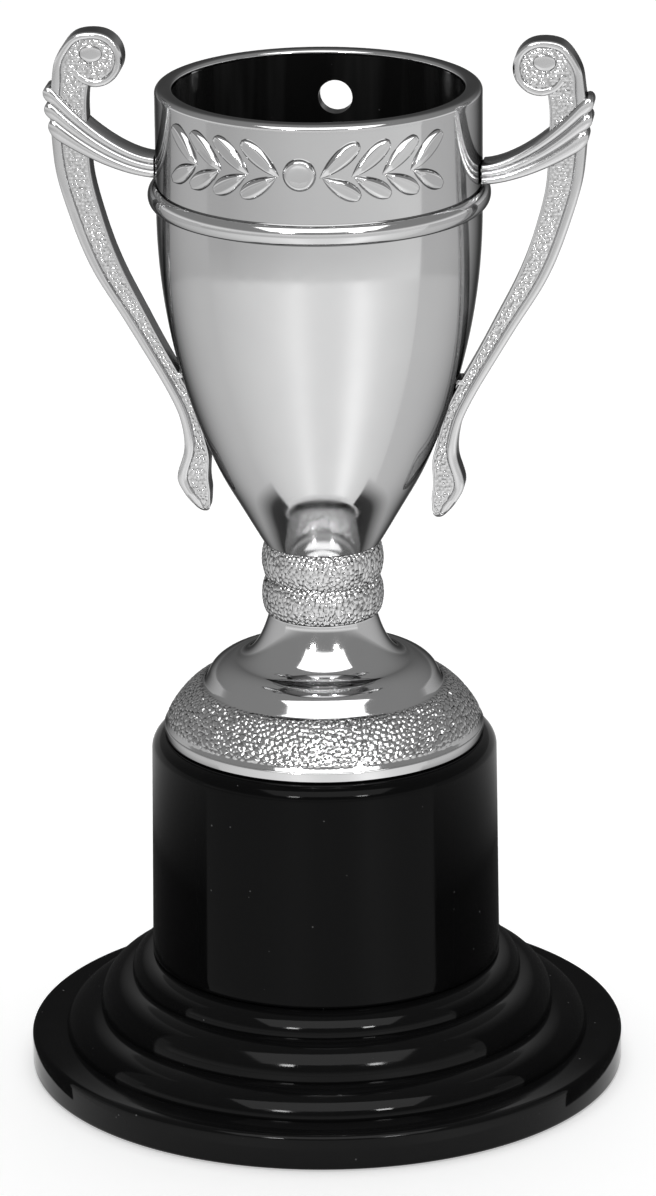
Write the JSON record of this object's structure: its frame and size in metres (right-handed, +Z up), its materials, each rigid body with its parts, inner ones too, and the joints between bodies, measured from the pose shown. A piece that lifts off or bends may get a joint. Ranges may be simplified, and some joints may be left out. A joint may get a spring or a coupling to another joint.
{
  "type": "cup trophy",
  "caption": "Silver cup trophy with scroll handles: laurel-banded bowl, collar and bell foot bolted to a black drum on a stepped round base; the cup turns about its bolt.",
  "frame": {"origin": "Middle of the underside of the base, in the plane the trophy stands on.", "axes": "+Z up through the centre bolt; handles along +X and -X; the front with the laurel band faces -Y."},
  "size_m": [0.07, 0.07, 0.1247],
  "materials": {
    "silver_bowl": "polished",
    "silver_handle": "polished",
    "silver_collar": "gloss",
    "silver_foot": "polished",
    "black_drum": "gloss",
    "black_base": "gloss",
    "pad_felt": "matte",
    "ballast_steel": "satin",
    "zinc_steel": "satin"
  },
  "bodies": {
    "plinth": {"plinth_drum": "black_drum", "stepped_base": "black_base", "base_pad": "pad_felt", "ballast_disc": "ballast_steel", "centre_bolt": "zinc_steel", "cup_washer": "zinc_steel", "base_washer": "zinc_steel", "base_nut": "zinc_steel"},
    "cup": {"bowl": "silver_bowl", "handle_left": "silver_handle", "handle_right": "silver_handle", "stem_collar": "silver_collar", "foot": "silver_foot"}
  },
  "joints": [
    {"name": "cup_swivel", "type": "hinge", "parent": "plinth", "child": "cup", "pos_m": [0, 0, 0.0413], "axis": [0, 0, 1], "continuous": true}
  ]
}
